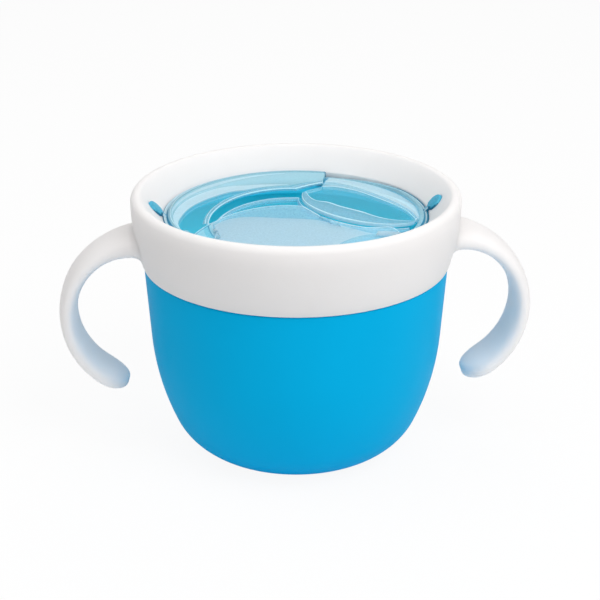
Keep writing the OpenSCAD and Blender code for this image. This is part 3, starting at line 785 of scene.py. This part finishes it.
def layFlap(layer, spans, curves, strips):
    # A grid between plan curves, each cut in the same spans. Each strip between two curves has its number of
    # rows, lift at its far curve, film or a rule for it, and height of its arch or a rule for it.
    lines = [sum((evenly(part, span)[:-1] for span, part in zip(spans, curve)), []) + [Vector(curve[-1][-1])]
             for curve in curves]
    columns = sum(spans)
    starts = [sum(strip[0] for strip in strips[:i]) for i in range(len(strips) + 1)]
    bm = bmesh.new()
    bmesh.ops.create_grid(bm, x_segments=columns, y_segments=starts[-1], size=0.5)
    for vert in bm.verts:
        column = round((vert.co.x + 0.5) * columns)
        row = round((vert.co.y + 0.5) * starts[-1])
        number = max(k for k, start in enumerate(starts) if start < max(row, 1))
        rows, far, _, arch = strips[number]
        near = strips[number - 1][1] if number else 0
        share = (row - starts[number]) / rows
        if callable(arch):
            arch = arch(column / columns)
        plan = lines[number][column].lerp(lines[number + 1][column], share)
        lift = near + (far - near) * (1 - math.cos(math.pi * share)) / 2 + arch * math.sin(math.pi * share)
        vert.co = (plan.x, plan.y, domeZ(plan.x, plan.y, layer) + lift)
    bm.faces.ensure_lookup_table()
    for i, face in enumerate(bm.faces):
        row, column = divmod(i, columns)
        number = max(k for k, start in enumerate(starts) if start <= row)
        rows, _, kind, _ = strips[number]
        place = ((column + 0.5) / columns, (row - starts[number] + 0.5) / rows)
        face.material_index = kind(*place) if callable(kind) else kind
    bm.normal_update()
    if sum(face.normal.z for face in bm.faces) < 0:
        bmesh.ops.reverse_faces(bm, faces=bm.faces)
    return bm


def makeFlap(name, bm, body=None, replaces=(), thick=flaps["thick"]):
    sheet = [("SOLIDIFY", {"thickness": thick * mm, "offset": -1}),
             ("BEVEL", {"width": flaps["edgeRound"] * mm, "segments": 2, "limit_method": "ANGLE",
                        "angle_limit": math.radians(flaps["sharpAngle"])})]
    piece = makePiece(name, bm, films, body, replaces, flaps["sharpAngle"], sheet)
    for face in piece.data.polygons:
        if face.normal.z < -0.3 and face.material_index in (lip, shade):
            face.material_index = misted  # a lip's painted highlight and shade lines are on the top side only
    return piece


# Rules for films: u runs along a strip from 0 to 1, and v across it

def rolled(u, v):
    # a rolled lip: painted highlights along its free edge and its crest, clearer between
    return lip if v < 0.18 or 0.5 < v < 0.7 else misted


def rolledFront(u, v):
    # the front flap's lip, plain along its left side
    return frostedAndSheen if u < 0.115 else rolled(u, v)


def rolledBright(u, v):
    # the inner flap's lip, with a painted reflection on its left part
    return lip if 0.2 < u < 0.38 and v < 0.5 else rolled(u, v)


def rolledUnder(u, v):
    # the crescent's lip, which shows only as a painted shade line under the front flap's corner
    if u < 0.42:
        return shade if v < 0.15 else clear
    return rolled(u, v)


def brightPart(plain, start, end):
    # a painted highlight streak along part of a strip of another film
    return lambda u, v: lip if start < u < end else plain


def crescentAngle(radius):
    # where an arc of the crescent crosses the seam
    return math.degrees(math.acos((crescent["seam"] - crescent["centre"][0]) / radius))


def makeCrescent():
    centre, radius = crescent["centre"], crescent["radius"]
    outer = radius + crescent["lipWidth"]
    foot, lipFoot = crescentAngle(radius), crescentAngle(outer)
    rimFoot = math.degrees(math.acos(crescent["seam"] / flaps["rim"]))
    rim = rimArc(flaps["rim"], crescent["rimFrom"], rimFoot)
    sheen = smoothPath(crescent["rootSheen"])
    # edges of the painted sheen and highlight streaks, as shares of the way from the sheen's edge to the rim,
    # from left to right
    edges = (lambda u: 0.05, lambda u: 0.85 - 0.41 * u, lambda u: 0.93 - 0.31 * u, lambda u: 0.97 - 0.12 * u)
    bm = layFlap(0, [64], [
        [arc(centre, radius, crescent["from"], foot, 40)],
        [arc(centre, outer, crescent["from"], lipFoot, 40)], [sheen],
        *([between(sheen, rim, share)] for share in edges), [rim]],
        [(6, 0, rolledUnder, flaps["lip"]), (10, 0, clear, 0), (2, 0, pale, 0), (6, 0, lip, 0),
         (3, 0, pale, 0), (3, 0, paintedLitBand, 0), (3, 0, pale, 0)])
    makeFlap("crescentFlapRoot", bm, "collar")

    rim = rimArc(flaps["rim"], rimFoot, crescent["rimCorner"])
    rimTip = rimArc(flaps["rim"], crescent["rimCorner"], crescent["rimTo"])
    sheen, tipSheen = smoothPath(crescent["sheen"]), crescent["tipSheen"]
    # the same painted sheen and highlight streaks' edges on this part
    edges = (lambda u: 0.05, lambda u: 0.06 + 0.38 * (1 - u) ** 1.2, lambda u: 0.62 + 0.2 * u, lambda u: 0.85)
    bm = layFlap(0, [64, 20], [
        [arc(centre, radius, foot, crescent["to"], 40), crescent["tip"]],
        [arc(centre, outer, lipFoot, crescent["lipTo"], 40), crescent["tipLip"]],
        [sheen, tipSheen],
        *([between(sheen, rim, share), between(tipSheen, rimTip, lambda u: share(1))] for share in edges),
        [rim, rimTip]],
        [(6, 0, rolled, flaps["lip"]), (4, 0, clear, 0), (2, 0, pale, 0),
         (5, 0, brightPart(pale, 0, 0.76), 0), (7, 0, pale, 0),
         (4, 0, lambda u, v: paintedLitBand if u < 0.76 else pale, 0), (4, 0, pale, 0)])
    piece = makeFlap("crescentFlap", bm, None, ["left_flap"])
    foldFlap(piece, "left_flap", crescent["hinge"], polar(crescent["hingeReach"], crescent["hingeTurn"]),
             crescent["hingeZ"])


def makeLeaf():
    edge = smoothPath(leaf["paleEdge"])
    rim = rimArc(lowerLip - leaf["rimInset"], leaf["rimFrom"], leaf["rimTo"])
    bm = layFlap(1, [100], [
        [arc(leaf["centre"], leaf["radius"], leaf["from"], leaf["to"], 60)],
        [smoothPath(leaf["bandEdge"])], [smoothPath(leaf["clearEdge"])], [edge],
        [between(edge, rim, lambda u: 0.3 - 0.25 * max(0, abs(u - leaf["streakAt"]) - 0.08))],
        [between(edge, rim, lambda u: 0.31 + 0.5 * max(0, 1 - abs(u - leaf["streakAt"]) / 0.22))], [rim]],
        # the leaf's bright lines are painted highlights, its whiter bands near the rim a painted highlight
        # band
        [(10, leaf["ridge"], lambda u, v: lip if v < 0.12 or v > 0.9 else misted, 0),
         (12, 0, brightPart(clear, 0, 0.012), 0),
         (6, 0, lambda u, v: lip if v < 0.2 else misted, leaf["arch"]),
         (3, 0, paintedLitBand, leaf["arch"]), (5, 0, brightPart(paintedLitBand, 0.5, 0.97), leaf["arch"]), (4, 0, paintedLitBand, 0)])
    piece = makeFlap("leafFlap", bm, None, ["right_flap"])
    foldFlap(piece, "right_flap", polar(leaf["hingeReach"], leaf["hingeFrom"]),
             polar(leaf["hingeReach"], leaf["hingeTo"]), leaf["hingeZ"])


def frontLipArch(u):
    # none along the left side, then full height, and down to nothing at the right end
    return front["lipArch"] * min(1, max(0, (u - 0.13) / 0.06), (1 - u) / 0.03)


def makeFront():
    centre, radius = front["centre"], front["radius"]
    left, side = crescent["centre"], crescent["radius"] - front["sideGap"]
    rim, rimIn = flaps["rim"], flaps["rim"] - front["rimBand"]
    spots = front["rimSpots"]
    bm = layFlap(0, [14, 70, 36], [
        [arc(left, side, *front["sideTurns"], 10), arc(centre, radius, *front["turns"], 40),
         smoothPath(front["freeEdge"])],
        [arc(left, side - front["sideLip"], *front["sideLipTurns"], 10),
         arc(centre, radius - front["lipWidth"], *front["lipTurns"], 40), smoothPath(front["freeLip"])],
        [smoothPath(front["frostLeft"]), smoothPath(front["frostMiddle"]), smoothPath(front["frostRight"])],
        [rimArc(rimIn, spots[0], spots[1]), rimArc(rimIn, spots[1], spots[2]), smoothPath(front["frostEnd"])],
        [rimArc(rim, spots[0], spots[1]), rimArc(rim, spots[1], spots[2]), rimArc(rim, spots[2], spots[3])]],
        [(6, 0, rolledFront, frontLipArch), (8, 0, misted, 0), (14, 0, frostedAndSheen, 0), (6, 0, misted, 0)])
    piece = makeFlap("frontFlap", bm, None, ["front_flap"])
    foldFlap(piece, "front_flap", *front["hinge"], front["hingeZ"])

    corner = layFlap(-front["cornerRise"], [24], [
        [arc(centre, radius, *front["cornerTurns"], 20)],
        [arc(centre, radius - front["cornerLip"], *front["cornerLipTurns"], 20)],
        [rimArc(rim - 0.1, front["cornerFrom"], spots[0]) + [front["cornerSpot"]]]],
        [(6, 0, rolled, front["cornerArch"]), (8, 0, pale, 0)])
    makeFlap("frontFlapCorner", corner, "collar", thick=front["cornerThick"])


def makeInner():
    centre, radius = crescent["centre"], crescent["radius"] - inner["edgeGap"]
    spots = inner["rimSpots"]
    bm = layFlap(2, [72, 60], [
        [arc(centre, radius, *inner["turns"], 60),
         arc(leaf["centre"], leaf["radius"] + inner["leafGap"], *inner["leafTurns"], 60)],
        [arc(centre, radius - inner["lipWidth"], *inner["lipTurns"], 60),
         arc(leaf["centre"], leaf["radius"] + inner["leafLip"], *inner["leafLipTurns"], 60)],
        [rimArc(inner["rim"], spots[0], spots[1]), rimArc(inner["rim"], spots[1], spots[2])]],
        [(6, 0, rolledBright, inner["lipArch"]), (24, 0, clear, 0)])
    piece = makeFlap("innerFlap", bm, None, ["inner_flap"])
    foldFlap(piece, "inner_flap", *front["hinge"], inner["hingeZ"])


def foldFlap(piece, body, start, end, z):
    # works out the line from start to end and its free side, then bakes the piece's place into its mesh; it
    # doesn't bend the piece
    middle = (Vector(start) + Vector(end)) / 2
    along = (Vector(end) - Vector(start)).normalized()
    free = Vector((-along.y, along.x))
    if free.dot(middle) > 0:
        free = -free
    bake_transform(piece)


makeBowl()
makeCollar()
makeRetainer()
makeUpperRing()
makeLowerRing()
makeCrescent()
makeLeaf()
makeFront()
makeInner()


# Studio: pale floor, soft lights, and the camera at the photograph's angle

studio = {
    "ambient": 0.415, "floorSize": 3.0, "floorGlow": 0.92,
    "cameraSpot": (-28.17, -402.9, 210.8), "cameraTurn": -4, "cameraPitch": -22.713,
    "lens": 96, "sideShift": 4 / 600,  # the shift is a share of the picture's width
    "aimHeight": 40,
    "lights": (
        # name, distance mm, azimuth, height angle, width mm, height mm, brightness
        ("keyBox", 700, -50, 50, 500, 420, 4.05),
        ("backBox", 700, 92, 49, 480, 300, 1.2),
        ("topBox", 800, 200, 72, 500, 500, 2.0),
    ),
}


def seenDirectly(tree):
    # 1 where the camera sees the surface, 0 where it only gives light
    return addNode(tree, "ShaderNodeLightPath").outputs["Is Camera Ray"]


def makeStudio():
    scene = bpy.context.scene
    bm = bmesh.new()
    bmesh.ops.create_grid(bm, x_segments=1, y_segments=1, size=studio["floorSize"])
    floor = placeShape("floor", bm)
    floor.data.materials.append(floorFinish())

    target = Vector((0, 0, studio["aimHeight"])) * mm
    for name, distance, azimuth, rise, width, height, brightness in studio["lights"]:
        light = bpy.data.lights.new(name, "AREA")
        light.shape = "RECTANGLE"
        light.size = width * mm
        light.size_y = height * mm
        light.energy = brightness * math.pi * light.size * light.size_y
        lamp = bpy.data.objects.new(name, light)
        flat = polar(distance * math.cos(math.radians(rise)), azimuth)
        lamp.location = target + Vector((*flat, distance * math.sin(math.radians(rise)))) * mm
        lamp.rotation_euler = (target - lamp.location).to_track_quat("-Z", "Y").to_euler()
        scene.collection.objects.link(lamp)

    camera = bpy.data.cameras.new("camera")
    camera.lens = studio["lens"]
    camera.sensor_width = 36
    camera.shift_x = studio["sideShift"]
    eye = bpy.data.objects.new("camera", camera)
    eye.location = Vector(studio["cameraSpot"]) * mm
    eye.rotation_euler = (math.radians(90 + studio["cameraPitch"]), 0, math.radians(studio["cameraTurn"]))
    scene.collection.objects.link(eye)
    scene.camera = eye

    scene.world = bpy.data.worlds.new("studio")
    scene.world.use_nodes = True
    tree = scene.world.node_tree
    tree.nodes.clear()
    strength = addNode(tree, "ShaderNodeMapRange", inputs={
        "Value": seenDirectly(tree), "To Min": studio["ambient"], "To Max": 1.0})
    sky = addNode(tree, "ShaderNodeBackground", inputs={
        "Color": hexToLinear("#FFFFFF"), "Strength": strength.outputs["Result"]})
    addNode(tree, "ShaderNodeOutputWorld", inputs={"Surface": sky.outputs[0]})
    scene.view_settings.view_transform = "Standard"
    scene.cycles.transparent_max_bounces = 24  # the flaps lie up to eight faces deep
    scene.cycles.max_bounces = 20
    scene.cycles.diffuse_bounces = 14  # the bowl's painted-lighter inside passes light on many times
    print("studio made")


def floorFinish():
    # matt white sweep that stays white in the picture and keeps a faint shadow
    material, tree = newTree("paperSweepWhite")
    seen = addNode(tree, "ShaderNodeMath", {"operation": "MULTIPLY"}, {
        0: seenDirectly(tree), 1: studio["floorGlow"]})
    paper = addNode(tree, "ShaderNodeBsdfDiffuse", inputs={"Color": hexToLinear("#F7F7F7")})
    glow = addNode(tree, "ShaderNodeEmission", inputs={"Color": hexToLinear("#FFFFFF"), "Strength": 1.0})
    whole = addNode(tree, "ShaderNodeMixShader", inputs={
        0: seen.outputs[0], 1: paper.outputs[0], 2: glow.outputs[0]})
    addNode(tree, "ShaderNodeOutputMaterial", inputs={"Surface": whole.outputs[0]})
    return material


makeStudio()
